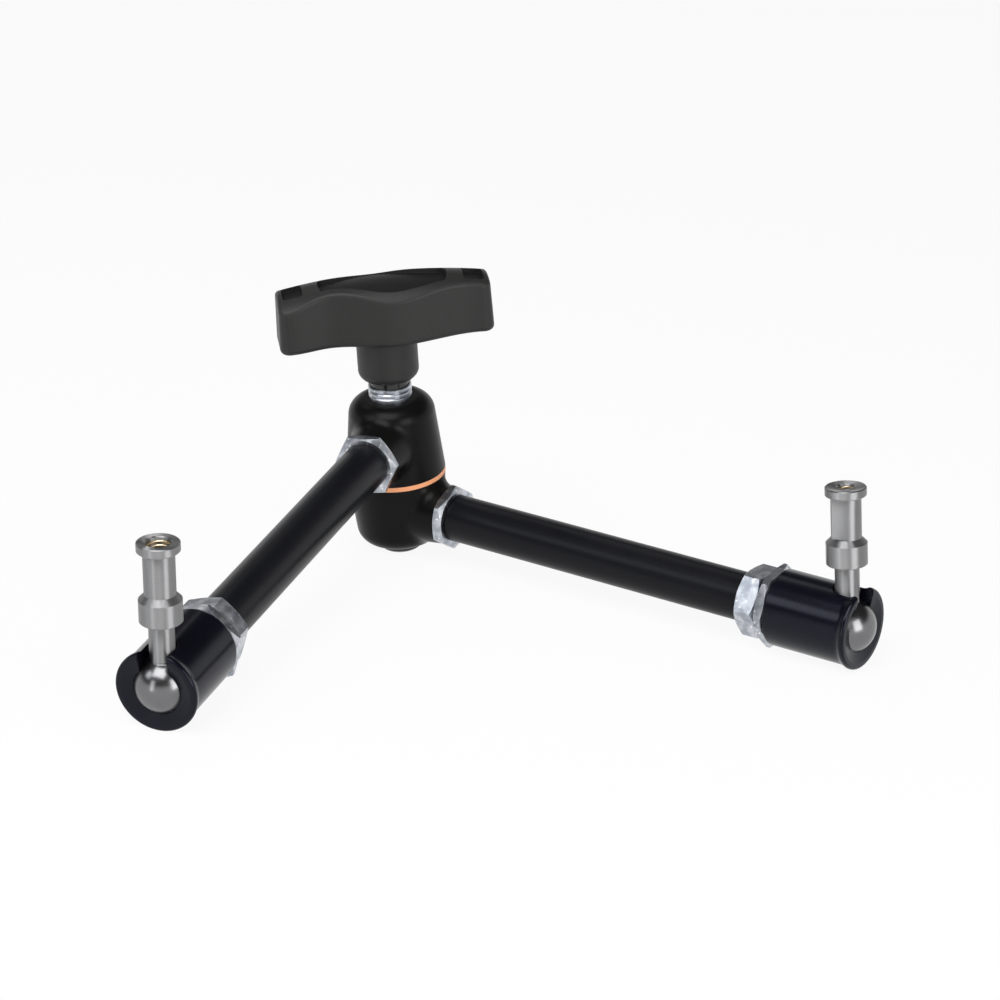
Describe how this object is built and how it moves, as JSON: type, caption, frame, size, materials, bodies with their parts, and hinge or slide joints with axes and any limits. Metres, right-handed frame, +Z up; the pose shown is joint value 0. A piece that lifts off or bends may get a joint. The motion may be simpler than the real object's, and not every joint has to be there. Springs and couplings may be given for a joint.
{
  "type": "articulating friction arm",
  "caption": "Friction arm with tubes joined at a turning elbow, ball studs in slotted end cups and a T handle that locks the joints.",
  "frame": {"origin": "centre of the flat foot under the elbow, on the elbow axis", "axes": "+Z up along the elbow axis from the foot to the T handle; the right arm points to +X and -Y, the left arm to -X and -Y, as pictured"},
  "size_m": [0.2873, 0.2343, 0.1212],
  "materials": {
    "casting": "satin black paint",
    "tube": "satin black anodised",
    "cup": "gloss black anodised",
    "washer": "moulded friction ring",
    "spindle": "black oxide",
    "steel": "plain turned steel",
    "sleeve": "bright zinc",
    "zinc": "bright zinc with tool marks",
    "thrust": "black oxide",
    "insert": "plain",
    "pad": "moulded brake pad",
    "handle": "fine grained",
    "stud": "bright turned steel"
  },
  "bodies": {
    "base": {"lower_casting": "casting", "friction_washer": "washer", "spindle": "spindle", "lower_wedge": "steel", "upper_wedge": "steel", "right_elbow_nut": "zinc", "right_tube": "tube", "right_push_rod": "steel", "right_coupling": "zinc", "right_cup_nut": "zinc", "right_cup": "cup", "right_brake_pad": "pad"},
    "upper_arm": {"upper_casting": "casting", "threaded_sleeve": "sleeve", "left_elbow_nut": "zinc", "left_tube": "tube", "left_push_rod": "steel", "left_coupling": "zinc", "left_cup_nut": "zinc", "left_cup": "cup", "left_brake_pad": "pad"},
    "knob": {"t_handle": "handle", "handle_insert": "insert", "thrust_ring": "thrust", "bright_shim": "sleeve"},
    "left_ball_stud": {"left_stud": "stud"},
    "right_ball_stud": {"right_stud": "stud"}
  },
  "joints": [
    {"name": "elbow_turn", "type": "hinge", "parent": "base", "child": "upper_arm", "pos_m": [0, 0, 0.036], "axis": [0, 0, 1], "range_deg": [-273, 62]},
    {"name": "handle_turn", "type": "hinge", "parent": "base", "child": "knob", "pos_m": [0, 0, 0.09], "axis": [0, 0, 1], "range_deg": [0, 270]},
    {"name": "left_stud_tilt", "type": "hinge", "parent": "upper_arm", "child": "left_ball_stud", "pos_m": [-0.08218, -0.20138, 0.0504], "axis": [0.9259, -0.3778, 0.0052], "range_deg": [-2, 118]},
    {"name": "right_stud_tilt", "type": "hinge", "parent": "base", "child": "right_ball_stud", "pos_m": [0.17302, -0.1318, 0.0196], "axis": [0.6013, 0.7894, -0.1236], "range_deg": [-2, 118]}
  ]
}
